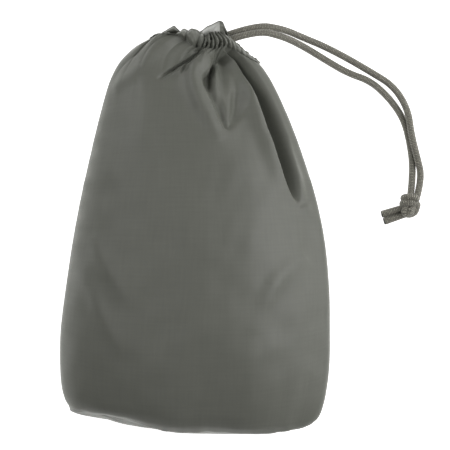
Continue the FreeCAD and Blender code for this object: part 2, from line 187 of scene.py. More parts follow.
# Every fold's path runs down the bag from the mouth, so its right bank is the one towards +X.
# Sharp valleys: path (x, y), depth at each point, and the widths of the left and right banks.
CREASES = [
    ([(4, 170), (-6, 163.5), (-22, 152.5), (-37, 141)], [4, 4, 3, 0], 9, 4),
    ([(-20, 184), (-13, 178), (4, 170)], [0, 5, 6], 6, 3),
    ([(18.5, 161), (16.8, 150), (15, 140), (12.5, 128)], [8, 10, 8, 0], 3.2, 2.2),
    ([(22, 167), (23, 158)], [9, 2], 4, 4),
    ([(-41, 180), (-54, 168), (-69, 154), (-80, 136)], [3, 4, 3, 0], 7, 6),
]
# Soft valleys: path, depth, and half width.
HOLLOWS = [
    (
        [(29, 164), (39, 149), (42, 135), (41, 121), (37.5, 106), (31, 94)],
        [8, 9, 8, 7, 5, 1],
        [7, 7, 7, 6, 5, 4],
    ),
    ([(25, 163), (27, 152), (28, 125), (27, 102)], [13, 10, 4, 2], [8, 9, 8, 6]),
]
# Folds whose left bank stands over a hollow on the right: path, drop, and the width of the hollow.
WAVES = [
    ([(5, 170.5), (-6, 163.5), (-22, 152.5), (-37.5, 141)], [6, 9, 9, 0], [5, 7, 8, 5]),
    ([(5, 166.5), (-4.5, 161), (-12.5, 152.5), (-16, 146)], [5, 7, 5, 0], [4, 6, 7, 5]),
    (
        [
            (17.5, 163), (12.5, 151), (6.2, 144.5), (5.6, 136), (10.5, 125), (17, 113), (22.5, 101),
            (26.5, 93), (31, 90.5), (35, 94), (37, 101),
        ],
        [6, 9, 10, 8, 5.5, 4, 3.4, 2.8, 2.4, 1.6, 0],
        [7, 10, 14, 15, 14, 13, 10, 7, 5, 5, 5],
    ),
    (
        [
            (31, 167), (36, 162), (42.5, 151), (48.5, 136), (54.5, 120), (61, 101), (69, 80.5), (77.5, 57.5),
            (87.5, 35.5), (96, 22),
        ],
        [6, 9, 14, 18, 21, 22, 21, 17, 9, 0],
        [5, 7, 11, 15, 18, 20, 20, 17, 12, 6],
    ),
]
# Rounded ridges: path, height at each point, and half width.
RIDGES = [
    ([(1, 163), (-14, 152), (-30, 140)], [2.5, 4, 0], 3.5),
    ([(11, 163), (1, 153), (-1.5, 139), (4, 120), (14, 102), (24, 84)], [3.5, 6, 6, 5, 3.6, 1.2], 7.5),
    ([(18.5, 158), (20.5, 142), (20.5, 129), (23, 115)], [2, 3, 2, 0], 2.2),
    (
        [(35, 158), (45, 136), (51, 120), (58, 101), (66, 80.5), (75, 57), (84, 35)],
        [2.5, 5, 5, 4.4, 3.6, 2.6, 0.8],
        6,
    ),
    ([(-35, 180), (-51, 152), (-75, 132)], [2, 3.5, 1], 6),
    ([(79, 100), (89, 72), (97, 48), (103, 26)], [0, 2.5, 4, 1.5], 5),
    ([(-96, -10), (-80, -40), (-53, -76)], [0.6, 1.8, 0.4], 8),
    ([(-106, -40), (-90, -75), (-68, -116)], [0.6, 1.8, 0.4], 8),
    ([(103, -28), (75, -53), (56, -96)], [1.5, 2.4, 0.4], 9),
    ([(105, 20), (112, 8)], [3, 1], 6),
]
# Where the front bends down towards its sides: the bend's path from mouth to foot, the slope beyond it, and
# the side of the path that it lies on.
BENDS = [
    (
        [
            (14, 210), (18, 165), (25, 125), (30, 88), (35, 60), (37, 40), (42, -5), (50, -50), (57, -80),
            (60, -125), (60, -210),
        ],
        0.16,
        1,
    ),
    ([(-32, 210), (-44, 172), (-62, 132), (-72, 80), (-82, 20), (-90, -60), (-90, -210)], 0.05, -1),
]
BEND_SOFTNESS = 8.0
# How far into the front the lines of its foot seam and its mouth seam are felt.
FOOT_REACH, MOUTH_REACH = 10.0, 26.0
# Soft wrinkles: height, length, seed, and how much longer they are down the bag than across it.
FRONT_WRINKLES = [(0.9, 62.0, 3, 1.8), (0.3, 23.0, 5, 1.6)]
BACK_WRINKLES = [(0.9, 48.0, 21, 1.5), (0.3, 20.0, 22, 1.5)]
MOUTH_WRINKLES, MOUTH_WRINKLES_REACH = [(0.7, 9.0, 8, 7.0)], 45.0
# Puckers along a seam: height, reach into the cloth, length and seed.
SIDE_PUCKERS, FOOT_PUCKERS = (0.8, 5.0, 13.0, 11), (0.6, 7.0, 11.0, 12)
# The ridge beside the foot seam: height, distance from the seam, and half width.
FOOT_RIDGE = (0.9, 2.5, 1.6)
# The shares of a wave's width where the hollow's floor ends, and where it has risen again.
WAVE_FLOOR = (0.34, 1.05)
WAVE_LEAN = 0.17
# Where along the mouth seam the back channel goes round the cord, and how far it stands out there, downwards
# and along the bag.
ROUND_CORD = ([-41, -32, 34, 46], [0, 1, 1, 0])
ROUND_CORD_DOWN, ROUND_CORD_OUT = 10.0, 2.0

# Points across and along each sheet. The channel's rows run out to its lip (1) and most of the way back (2).
FRONT_COLUMNS, FRONT_ROWS = 281, 340
BACK_COLUMNS, BACK_ROWS = 181, 200
CHANNEL_ROWS, CHANNEL_TURN = 90, 1.9
ROW_CROWDING = 1.45
# The base: its rows, its middle, and its bulge's x, half width and height.
BASE_ROWS, BASE_CENTRE, BASE_BULGE = 40, (-1.0, -196.0, SEAM_HEIGHT), (-62, 22, 3.4)
# Where a row of the body has the crest of the front and the lowest line of the back.
FRONT_CREST, BACK_CREST = 4, 6
# The back channel's inner face takes a paler colour from this far along its rows, between these columns; the
# paler colour is a painted highlight.
HIGHLIGHT_FROM, HIGHLIGHT_COLUMNS = 1.04, (85, 103)
ALLOWANCE_WIDTH = 8.0
STITCH_PITCH = 2.7
# A stitch: places along it as shares of its length, and its thickness there as a share of its radius.
STITCH_PROFILE = [(-0.5, 0.2), (-0.42, 0.8), (-0.2, 1.0), (0.2, 1.0), (0.42, 0.8), (0.5, 0.2)]
ALLOWANCE_STITCH_ROW, CHANNEL_STITCH_ROW = 2, 3
# The bartacks where the cord leaves: a row and a column on the front channel and on the back one.
FRONT_TACK, BACK_TACK = (44, 184), (38, 119)
TACK_HEADING = (-0.3, 1.0, 0.0)


# ------------ small helpers


def smoothstep(low, high, x):
    """0 up to low, 1 from high on, and a smooth rise between them."""
    t = np.clip((x - low) / (high - low), 0.0, 1.0)
    return t * t * (3 - 2 * t)


def fading(distance, reach):
    """1 at no distance, and less and less past the reach."""
    return np.exp(-distance / reach)


def hump(distance, half_width):
    """1 at no distance, falling smoothly to both sides."""
    return np.exp(-((distance / half_width) ** 2))


def midway(t):
    """0 at both ends of a run from 0 to 1, and 1 in its middle."""
    return 4 * t * (1 - t)


def distances_along(line):
    """The distance along a line to each of its points."""
    return np.concatenate([[0], np.cumsum(np.linalg.norm(np.diff(line, axis=0), axis=1))])


def read_at(wanted, places, rows):
    """A table's rows, which lie at places, read at the wanted places."""
    return np.stack([np.interp(wanted, places, column) for column in np.asarray(rows).T], axis=1)


def through(values, t):
    """A smooth curve through values (rows of a table), read at t, which counts rows."""
    values = np.asarray(values, float).reshape(len(values), -1)
    slopes = np.gradient(values, axis=0)
    i = np.clip(np.floor(t).astype(int), 0, len(values) - 2)
    q = (t - i)[:, None]
    a, b, ma, mb = values[i], values[i + 1], slopes[i], slopes[i + 1]
    return (
        (2 * q**3 - 3 * q**2 + 1) * a
        + (q**3 - 2 * q**2 + q) * ma
        + (-2 * q**3 + 3 * q**2) * b
        + (q**3 - q**2) * mb
    )


def ripples(x, y, length, seed, stretch=1.0):
    """Soft random waves of about that length, from -1 to 1. stretch lengthens them along y."""
    waves = np.random.default_rng(seed)
    total = np.zeros_like(x)
    for _ in range(9):
        angle, phase = waves.uniform(0, 2 * math.pi, 2)
        k = 2 * math.pi / (length * waves.uniform(0.7, 1.5))
        total += np.sin(k * (math.cos(angle) * x + math.sin(angle) * y / stretch) + phase)
    return total / 4.5


def along_path(x, y, path, pieces=4):
    """How each point lies to a smooth path that runs down the bag.

    Returns its distance (positive on the +X side), how far along it is in the path's own points, how far
    past the path's ends, and the way towards the +X side. Each run of the path is cut into straight pieces.
    """
    fine = through(path, np.linspace(0, len(path) - 1, pieces * (len(path) - 1) + 1))
    best = np.full(x.shape, 1e9)
    side, run, past = np.zeros_like(x), np.zeros_like(x), np.zeros_like(x)
    way = np.zeros((*x.shape, 2))
    for i, ((ax, ay), (bx, by)) in enumerate(zip(fine, fine[1:])):
        dx, dy = bx - ax, by - ay
        free = ((x - ax) * dx + (y - ay) * dy) / (dx * dx + dy * dy)
        t = np.clip(free, 0, 1)
        ox, oy = x - ax - t * dx, y - ay - t * dy
        distance = np.hypot(ox, oy)
        nearer = distance < best
        best[nearer] = distance[nearer]
        side[nearer] = (dx * oy - dy * ox)[nearer]
        run[nearer] = (i + t[nearer]) / pieces
        past[nearer] = np.abs(free - t)[nearer] * math.hypot(dx, dy)
        way[nearer] = np.array([-dy, dx]) / math.hypot(dx, dy)
    return np.where(side > 0, best, -best), run, past, way


def normals_of(grid):
    """The cloth's normal at each point of a grid."""
    du, dv = np.gradient(grid, axis=1), np.gradient(grid, axis=0)
    n = np.cross(du, dv)
    return n / np.maximum(np.linalg.norm(n, axis=2, keepdims=True), 1e-9)


def relaxed(grid, passes):
    """The grid with its sharpest kinks eased. Its edges stay."""
    for _ in range(passes):
        inner = grid[1:-1, 1:-1]
        around = grid[:-2, 1:-1] + grid[2:, 1:-1] + grid[1:-1, :-2] + grid[1:-1, 2:]
        grid[1:-1, 1:-1] = inner * 0.5 + around * 0.125
    return grid


def cloth_lengths(grid):
    """Distances over the grid, across and along, which are the cloth's own coordinates."""
    across = np.linalg.norm(np.diff(grid, axis=1), axis=2).mean(0)
    along = np.linalg.norm(np.diff(grid, axis=0), axis=2).mean(1)
    return np.concatenate([[0], np.cumsum(across)]), np.concatenate([[0], np.cumsum(along)])


def linked(name, data):
    """A new object in the scene."""
    made = bpy.data.objects.new(name, data)
    bpy.context.scene.collection.objects.link(made)
    return made


def mesh_from(name, points, faces, uv, material):
    """An object from points in metres, its faces, and each point's cloth coordinates.

    A third cloth coordinate, where there is one, is how far the yarn stands out there.
    """
    mesh = bpy.data.meshes.new(name)
    mesh.from_pydata(points, [], faces)
    layer = mesh.uv_layers.new(name="cloth")
    corners = np.zeros(len(mesh.loops), np.int32)
    mesh.loops.foreach_get("vertex_index", corners)
    uv = np.asarray(uv, np.float32)
    layer.data.foreach_set("uv", uv[corners, :2].ravel())
    if uv.shape[1] == 3:
        mesh.attributes.new("yarn", "FLOAT", "POINT").data.foreach_set("value", uv[:, 2].copy())
    mesh.polygons.foreach_set("use_smooth", [True] * len(mesh.polygons))
    mesh.materials.append(material)
    return linked(name, mesh)


def grid_faces(rows, columns, closed=False):
    """Quads of a grid whose points are numbered row by row. closed joins its last column to its first."""
    last = columns if closed else columns - 1
    r, c = np.meshgrid(np.arange(rows - 1), np.arange(last), indexing="ij")
    d = (c + 1) % columns
    quads = [r * columns + c, r * columns + d, (r + 1) * columns + d, (r + 1) * columns + c]
    return np.stack([q.ravel() for q in quads], axis=1)


def grid_piece(name, grid, material, replaced, slot, flip=False, lining=None):
    """A cloth piece from a grid. Its last argument is where it takes a paler colour that is a painted
    highlight: past a row, between two columns.
    """
    across, along = cloth_lengths(grid)
    u, v = np.meshgrid(across * MM, along * MM)
    faces = grid_faces(*grid.shape[:2])
    if flip:
        faces = faces[:, ::-1]
    points = (grid.reshape(-1, 3) * MM).tolist()
    made = mesh_from(name, points, faces.tolist(), np.stack([u.ravel(), v.ravel()], 1), material)
    if lining:
        made.data.materials.append(PAINTED_HIGHLIGHT_NYLON)
        row, column = np.divmod(np.arange(len(faces)), grid.shape[1] - 1)
        first_row, columns = lining
        shows = (row >= first_row) & (column > columns[0]) & (column < columns[1])
        made.data.polygons.foreach_set("material_index", shows.astype(np.int32))
    return finish_piece(made, "bag", replaced)


def cloth_piece(solid, grid, **options):
    """A sheet of the bag's own cloth, in the place of one solid."""
    return grid_piece(solid + "_cloth", grid, CLOTH, [solid], "bag_cloth", **options)


def finish_piece(made, body, replaced):
    """Puts a piece on its body, in the place of the solids that it stands for."""
    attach(made, body)
    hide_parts(*replaced)
    return made


# ------------ materials


def feed(tree, socket, value):
    """Sets an input to a number or a colour, or links another node's output to it."""
    if isinstance(value, bpy.types.NodeSocket):
        tree.links.new(value, socket)
    else:
        socket.default_value = value


def set_inputs(tree, made, **inputs):
    """Feeds some of a node's inputs by name."""
    for name, value in inputs.items():
        feed(tree, made.inputs[name.replace("_", " ")], value)


def node(tree, kind, at, **inputs):
    """A shader node with some of its inputs set."""
    made = tree.nodes.new(kind)
    made.location = at
    set_inputs(tree, made, **inputs)
    return made


def blend_colours(tree, at, kind, factor, a, b):
    """Two colours mixed or multiplied. Each may be a value or another node's output."""
    made = tree.nodes.new("ShaderNodeMix")
    made.data_type, made.blend_type, made.location = "RGBA", kind, at
    for socket, value in zip((made.inputs[0], made.inputs[6], made.inputs[7]), (factor, a, b)):
        feed(tree, socket, value)
    return made.outputs[2]


def remap(tree, at, value, low, high, start=0.0, end=1.0):
    """A value that runs from start to end, spread from low to high."""
    limits = {"From_Min": start, "From_Max": end, "To_Min": low, "To_Max": high}
    return node(tree, "ShaderNodeMapRange", at, Value=value, **limits).outputs["Result"]


def scaled(tree, at, vector, scale):
    """Coordinates multiplied by a scale along each axis."""
    return node(tree, "ShaderNodeMapping", at, Vector=vector, Scale=scale).outputs["Vector"]


def bumped(tree, strength, distance, height):
    """The normals of a surface whose height stands out by up to a distance in metres."""
    made = node(
        tree, "ShaderNodeBump", (200, -300), Strength=strength, Distance=distance, Height=height
    )
    return made.outputs[0]


def new_material(name, **inputs):
    """A material with one principled shader, whose inputs may be set."""
    material = bpy.data.materials.new(name)
    material.use_nodes = True
    tree = material.node_tree
    tree.nodes.clear()
    out = node(tree, "ShaderNodeOutputMaterial", (900, 0))
    shader = node(tree, "ShaderNodeBsdfPrincipled", (600, 0), **inputs)
    tree.links.new(shader.outputs[0], out.inputs[0])
    return material, tree, shader


# Waves and streaks per metre of cloth, and the scale of its stains.
WARP_DENSITY, WEFT_DENSITY = 1100.0, 900.0
WARP_STREAKS, WEFT_STREAKS, STAINS = (420, 30, 1), (25, 420, 1), (14, 14, 1)


def cloth_coordinates(tree):
    """Distances over the cloth in metres, across it and along it."""
    uv = node(tree, "ShaderNodeUVMap", (-1300, 0))
    uv.uv_map = "cloth"
    return uv.outputs[0]


def nylon(name, colour):
    """Coated nylon taffeta: a plain weave, faint streaks along its yarns, soft stains and a low sheen.

    A single layer lets a little light through.
    """
    material, tree, shader = new_material(
        name, Specular_IOR_Level=0.42, Sheen_Weight=0.35, Sheen_Roughness=0.45,
        Sheen_Tint=(0.92, 0.94, 0.86, 1),
    )
    through_cloth = node(tree, "ShaderNodeBsdfTranslucent", (600, -600), Color=(0.8, 0.82, 0.76, 1))
    both = node(tree, "ShaderNodeMixShader", (750, -200), Fac=0.05)
    tree.links.new(shader.outputs[0], both.inputs[1])
    tree.links.new(through_cloth.outputs[0], both.inputs[2])
    tree.links.new(both.outputs[0], tree.nodes["Material Output"].inputs[0])
    cloth = cloth_coordinates(tree)
    warp = node(tree, "ShaderNodeTexWave", (-900, 200), Vector=cloth, Scale=WARP_DENSITY, Distortion=0.6)
    weft = node(tree, "ShaderNodeTexWave", (-900, -50), Vector=cloth, Scale=WEFT_DENSITY, Distortion=0.6)
    warp.bands_direction, weft.bands_direction = "X", "Y"
    weave = blend_colours(tree, (-650, 100), "MULTIPLY", 1.0, warp.outputs[0], weft.outputs[0])
    tones = []
    for row, scale in enumerate((WARP_STREAKS, WEFT_STREAKS, STAINS)):
        at = -300 - 250 * row
        place = scaled(tree, (-1100, at), cloth, scale)
        noise = node(tree, "ShaderNodeTexNoise", (-900, at), Vector=place, Scale=1.0, Detail=4.0)
        tones.append(remap(tree, (-650, at), noise.outputs[0], 0.9, 1.1))
    tone = blend_colours(tree, (-400, -200), "MULTIPLY", 1.0, tones[0], tones[1])
    tone = blend_colours(tree, (-250, -200), "MULTIPLY", 1.0, tone, tones[2])
    base = blend_colours(tree, (-100, 0), "MULTIPLY", 1.0, (*colour, 1), tone)
    rough = remap(tree, (-400, -500), noise.outputs[0], 0.4, 0.52)
    relief = bumped(tree, 0.22, 0.00012, weave)
    set_inputs(tree, shader, Base_Color=base, Roughness=rough, Normal=relief)
    return material


def braid(name, colour, fleck):
    """Braided polyester with paler flecks. Its colour is darker between the yarns, as painted shade, and
    paler on their crowns, as a painted highlight.
    """
    material, tree, shader = new_material(name, Sheen_Weight=0.2)
    cloth = cloth_coordinates(tree)
    yarns = node(tree, "ShaderNodeTexNoise", (-900, 100), Vector=cloth, Scale=900.0, Detail=3.0)
    patches = node(tree, "ShaderNodeTexNoise", (-900, -150), Vector=cloth, Scale=120.0, Detail=2.0)
    flecks = remap(tree, (-600, 100), yarns.outputs[0], 0.0, 1.0, start=0.48, end=0.66)
    base = blend_colours(tree, (-200, 100), "MIX", flecks, (*colour, 1), (*fleck, 1))
    patchy = remap(tree, (-600, -150), patches.outputs[0], 0.8, 1.2)
    toned = blend_colours(tree, (0, 50), "MULTIPLY", 1.0, base, patchy)
    # Painted shade between the yarns and a painted highlight on their crowns: the colour is scaled by how
    # far each yarn stands out.
    stand = node(tree, "ShaderNodeAttribute", (-600, 350))
    stand.attribute_name = "yarn"
    painted_shade_and_highlight = remap(tree, (-300, 350), stand.outputs["Fac"], 0.12, 1.7, start=0.4)
    toned = blend_colours(tree, (200, 50), "MULTIPLY", 1.0, toned, painted_shade_and_highlight)
    rough = remap(tree, (-600, -400), yarns.outputs[0], 0.5, 0.8)
    relief = bumped(tree, 0.4, 0.0001, yarns.outputs[0])
    set_inputs(tree, shader, Base_Color=toned, Roughness=rough, Normal=relief)
    return material


def plain_yarn(name, colour, roughness):
    """Sewing thread or melted cord: one dark colour, mottled, with a fine uneven surface."""
    material, tree, shader = new_material(name, Roughness=roughness)
    place = node(tree, "ShaderNodeTexCoord", (-1300, 0)).outputs["Object"]
    mottle = node(tree, "ShaderNodeTexNoise", (-900, 0), Vector=place, Scale=700.0, Detail=3.0)
    mottled = remap(tree, (-600, 0), mottle.outputs[0], 0.75, 1.25)
    base = blend_colours(tree, (-200, 0), "MULTIPLY", 1.0, (*colour, 1), mottled)
    set_inputs(tree, shader, Base_Color=base, Normal=bumped(tree, 0.5, 0.0001, mottle.outputs[0]))
    return material


CLOTH = nylon("nylon_taffeta", (0.128, 0.132, 0.112))
# A paler nylon that is a painted highlight on the back channel's flap.
PAINTED_HIGHLIGHT_NYLON = nylon("nylon_painted_highlight", (0.42, 0.425, 0.4))
ALLOWANCE_CLOTH = nylon("nylon_allowance", (0.11, 0.114, 0.097))
CORD = braid("braided_cord", (0.175, 0.168, 0.135), (0.42, 0.405, 0.34))
THREAD = plain_yarn("sewing_thread", (0.12, 0.123, 0.105), 0.6)
MELTED = plain_yarn("melted_cord_end", (0.05, 0.05, 0.045), 0.35)

# ------------ camera and cords


# The camera, in metres: the point that it is over, its distance from the seams, and the width it covers.
CAMERA_OVER, CAMERA_DISTANCE, CAMERA_COVERS = (0.0285, 0.0024), 3.0, 0.4275


def make_camera():
    """Straight above the bag, far enough away that its sides don't show."""
    data = bpy.data.cameras.new("camera")
    data.lens = data.sensor_width * CAMERA_DISTANCE / CAMERA_COVERS
    data.clip_end = 10.0
    made = linked("camera", data)
    made.location = (*CAMERA_OVER, CAMERA_DISTANCE + SEAM_HEIGHT * MM)
    bpy.context.scene.camera = made


def centreline(points):
    """The smooth line of a NURBS spline whose control points are in millimetres, as points in metres."""
    data = bpy.data.curves.new("route", "CURVE")
    data.dimensions = "3D"
    spline = data.splines.new("NURBS")
    spline.points.add(len(points) - 1)
    for point, place in zip(spline.points, points):
        point.co = (*(c * MM for c in place), 1.0)
    spline.order_u = 3
    spline.use_endpoint_u = True
    spline.resolution_u = 24
    route = linked("route", data)
    line = bpy.data.meshes.new_from_object(route)
    found = np.array([v.co for v in line.vertices], float)
    bpy.data.objects.remove(route)
    bpy.data.meshes.remove(line)
    return found


def evenly(line, step):
    """The same line with its points about step apart, and their distances along it."""
    lengths = distances_along(line)
    wanted = np.linspace(0, lengths[-1], max(3, int(lengths[-1] / step) + 1))
    return read_at(wanted, lengths, line), wanted


def braid_height(around, along):
    """How far the braid stands out, from 0 to 1, where around and along count its diamonds."""
    u, v = around + along, around - along
    over = (np.floor(u) + np.floor(v)) % 2 == 0
    across = np.where(over, v, u) % 1.0 - 0.5
    lengthwise = np.where(over, u, v) % 1.0 - 0.5
    yarn = np.sqrt(np.clip(1 - (1.7 * across) ** 2, 0, 1)) * (0.72 + 0.28 * np.cos(math.pi * lengthwise))
    return yarn * (0.8 + 0.2 * np.cos(2 * math.pi * along))


def braided_tube(line, around=48, spread=0.0):
    """Points, faces and cloth coordinates of the braided cord along a line in metres.

    Its braid is wider by the share spread at the line's end.
    """
    points, along = evenly(line, BRAID_STEP)
    tangents = np.gradient(points, axis=0)
    tangents /= np.linalg.norm(tangents, axis=1, keepdims=True)
    side = Vector(tangents[0]).orthogonal().normalized()
    sides = []
    for before, after in zip(np.vstack([tangents[:1], tangents[:-1]]), tangents):
        side = Vector(before).rotation_difference(Vector(after)) @ side
        sides.append(list(side))
    sides = np.array(sides)
    ups = np.cross(tangents, sides)
    angle = np.linspace(0, 2 * math.pi, around, endpoint=False)
    height = braid_height(BRAID_CARRIERS * angle[None] / (2 * math.pi), along[:, None] / BRAID_DIAMOND / 2)
    radius = CORD_DIAMETER * MM / 2 + BRAID_RELIEF * height
    radius *= 1 + spread * (along[:, None] / along[-1]) ** 1.5
    ring = (
        points[:, None]
        + radius[:, :, None] * np.cos(angle)[None, :, None] * sides[:, None]
        + radius[:, :, None] * np.sin(angle)[None, :, None] * ups[:, None]
    )
    ring[..., 2] = np.maximum(ring[..., 2], CORD_FLOOR_GAP)
    u, v = np.meshgrid(angle * CORD_DIAMETER * MM / 2, along)
    faces = grid_faces(len(points), around, closed=True)
    return capped(ring.reshape(-1, 3), faces, around, np.stack([u.ravel(), v.ravel(), height.ravel()], 1))


def capped(points, faces, around, uv):
    """A tube closed at both ends by a fan round its middle."""
    first, last, end_ring = len(points), len(points) + 1, len(points) - around
    points = np.vstack([points, points[:around].mean(0), points[-around:].mean(0)])
    uv = np.vstack([uv, uv[0], uv[-1]])
    faces = faces.tolist()
    for i in range(around):
        j = (i + 1) % around
        faces += [[first, j, i], [last, end_ring + i, end_ring + j]]
    return points, faces, uv


def cord_piece(name, tube, solid):
    """A piece of the braided cord, in the place of one solid."""
    points, faces, uv = tube
    made = mesh_from(name, points.tolist(), faces, uv, CORD)
    return finish_piece(made, "drawcord_end", [solid])


def strand(name, route):
    """A free strand of the cord, from inside the channel to the knot."""
    line = centreline(route)
    made = cord_piece("cord_" + name, braided_tube(line), "drawcord_strand_" + name)


def joined(name, parts, material):
    """One object from several sets of points, faces and cloth coordinates."""
    points, faces, uvs, start = [], [], [], 0
    for p, f, uv in parts:
        points += np.asarray(p).tolist()
        faces += [[i + start for i in face] for face in f]
        uvs.append(np.asarray(uv))
        start += len(p)
    return mesh_from(name, points, faces, np.vstack(uvs), material)


def make_knot():
    """The overhand knot, tied in both strands at once."""
    parts = []
    for side in (-1, 1):
        path = [
            [k + p + side * s for k, p, s in zip(KNOT_CENTRE, place, apart)] for place, apart in KNOT_PATH
        ]
        parts.append(braided_tube(centreline(path), around=40))
    made = joined("knot", parts, CORD)
    return finish_piece(made, "drawcord_end", ["drawcord_knot"])


def tail_place(start, heading, share):
    """The place at that share of a tail's length."""
    return Vector(start) + Vector(heading).normalized() * TAIL_LENGTH * share


def make_tail(name, start, heading):
    """A short tail past the knot. Its braid spreads a little towards the melted end."""
    route = centreline([tail_place(start, heading, share) for share in (0, 0.5, 1)])
    return cord_piece("tail_" + name, braided_tube(route, spread=TAIL_SPREAD), "drawcord_tail_" + name)


def make_seal(name, start, heading, around=40):
    """The melted end of a tail: a lumpy disc with a rolled rim."""
    end = tail_place(start, heading, 1)
    turn = Vector(heading).normalized().to_track_quat("Z", "Y")
    angle = np.linspace(0, 2 * math.pi, around, endpoint=False)
    points = []
    for row, (radius, height) in enumerate(SEAL_RINGS):
        lumps = 1 + 0.03 * np.sin(3 * angle + row) + 0.02 * np.sin(7 * angle + 2 * row)
        for a, reach in zip(angle, radius * lumps):
            local = Vector((reach * math.cos(a), reach * math.sin(a), height + 0.1 * math.sin(2 * a)))
            points.append(list((end + turn @ local) * MM))
    faces = grid_faces(len(SEAL_RINGS), around, closed=True).tolist()
    made = mesh_from("seal_" + name, points, faces, [(0, 0)] * len(points), MELTED)
    return finish_piece(made, "drawcord_end", [name + "_tail_seal"])


make_camera()
ends = [make_knot()]
for tail_name, tail in TAILS.items():
    ends += [make_tail(tail_name, *tail), make_seal(tail_name, *tail)]
strand("lower", LOWER_STRAND)
strand("upper", UPPER_STRAND)

# ------------ the bag's cloth


def body_rows(count):
    """The body's rows at that many places along the crest, and how far each is from the mouth seam.

    They are closer together towards the mouth.
    """
    table = np.array([[*left, *right, *crest, *low] for left, right, crest, low in BODY_ROWS])
    fine = through(table, np.linspace(0, len(table) - 1, 2000))
    lengths = distances_along(fine[:, FRONT_CREST : FRONT_CREST + 2])
    wanted = lengths[-1] * (1 - (1 - np.linspace(0, 1, count)) ** ROW_CROWDING)
    return read_at(wanted, lengths, fine), (lengths[-1] - wanted)[:, None]


def columns_of(count):
    """Angles across the cloth, from the left seam to the right one."""
    return np.linspace(-math.pi / 2, math.pi / 2, count)


def panel(rows, angles, crest):
    """The smooth form of the front or of the back, whose crest is in that column of the rows."""
    s, c = np.sin(angles)[None], np.cos(angles)[None]
    left, right = rows[:, None, 0:2], rows[:, None, 2:4]
    plan = left + (right - left) * ((s + 1) / 2)[..., None]
    bow = rows[:, crest] - (rows[:, 1] + rows[:, 3]) / 2
    to_mouth = smoothstep(130.0, 168.0, rows[:, crest])[:, None]
    to_left = smoothstep(0.1, -0.4, s)
    fuller = 3.2 if crest == BACK_CREST else 2.0 + to_left * (0.3 + 0.9 * to_mouth)
    full = np.clip(1 - np.abs(s) ** fuller, 0, 1) ** 0.49
    z = SEAM_HEIGHT + (rows[:, crest + 1] - SEAM_HEIGHT)[:, None] * full
    return np.stack([plan[..., 0], plan[..., 1] + bow[:, None] * c, z], axis=2)


def pleats(x, table):
    """Rounded pleats between sharp valleys.

    Returns each point's height, its pleat's width, its place across the pleat and the pleat's number.
    """
    valleys, depths = (np.array(column, float) for column in zip(*table))
    i = np.clip(np.searchsorted(valleys, x) - 1, 0, len(valleys) - 2)
    width = valleys[i + 1] - valleys[i]
    q = np.clip((x - valleys[i]) / width, 0, 1)
    return depths[i] * (midway(q) ** 0.55 - 0.6), width, q, i


def mouth_x(angles):
    """Where each column crosses the mouth seam."""
    left, right = BODY_ROWS[-1][0][0], BODY_ROWS[-1][1][0]
    return (left + right) / 2 + (right - left) / 2 * np.sin(angles)


def beside(x, y, fold_path, *values):
    """The distance from a fold's path, the way across it, a fade past its ends, and its listed values."""
    distance, run, past, way = along_path(x, y, fold_path)
    at_end = (run <= 0) | (run >= len(fold_path) - 1)
    fade = np.where(at_end, fading(past, 4.0), 1.0)
    return distance, way, fade, *(np.interp(run, range(len(fold_path)), listed) for listed in values)


def fold_cloth(grid):
    """The front's folds: how far the cloth moves along its normals, and how the waves' crests lean over."""
    x, y = grid[..., 0], grid[..., 1]
    rise, lean = np.zeros_like(x), np.zeros_like(grid)
    for path, depths, left_width, right_width in CREASES:
        distance, _, fade, depth = beside(x, y, path, depths)
        rise -= depth * fade * fading(np.abs(distance), np.where(distance < 0, left_width, right_width))
    for path, depths, widths in HOLLOWS:
        distance, _, fade, depth, width = beside(x, y, path, depths, widths)
        rise -= depth * fade * hump(distance, width)
    for path, heights, width in RIDGES:
        distance, _, fade, height = beside(x, y, path, heights)
        rise += height * fade * hump(distance, width)
    for path, drops, widths in WAVES:
        distance, way, fade, drop, width = beside(x, y, path, drops, widths)
        s = distance / width
        bank = 0.14 + 0.45 * fading(drop, 4.0)
        rise -= drop * fade * smoothstep(0.0, bank, s) * (1 - smoothstep(*WAVE_FLOOR, s))
        crest = drop * fade * hump(np.minimum(s, 0), 0.4) * (1 - smoothstep(0.0, 0.25, s))
        lean[..., :2] += WAVE_LEAN * crest[..., None] * way
    return rise, lean


def bend_down(grid):
    """Lowers the front past its two bends, less and less towards the side seams."""
    fall = np.zeros_like(grid[..., 0])
    for path, slope, side in BENDS:
        beyond = along_path(grid[..., 0], grid[..., 1], path)[0] * side
        fall += slope * BEND_SOFTNESS * np.log1p(np.exp(beyond / BEND_SOFTNESS))
    grid[..., 2] -= fall * smoothstep(0.0, 30.0, grid[..., 2] - SEAM_HEIGHT)


def wrinkles(x, y, table):
    """The height of a table's soft wrinkles at each point."""
    return sum(height * ripples(x, y, length, seed, stretch) for height, length, seed, stretch in table)


def puckers(distance, along, height, reach, length, seed):
    """The height of a seam's puckers, from the distance to the seam and the place along it."""
    return height * fading(distance, reach) * ripples(along, 0 * along, length, seed)


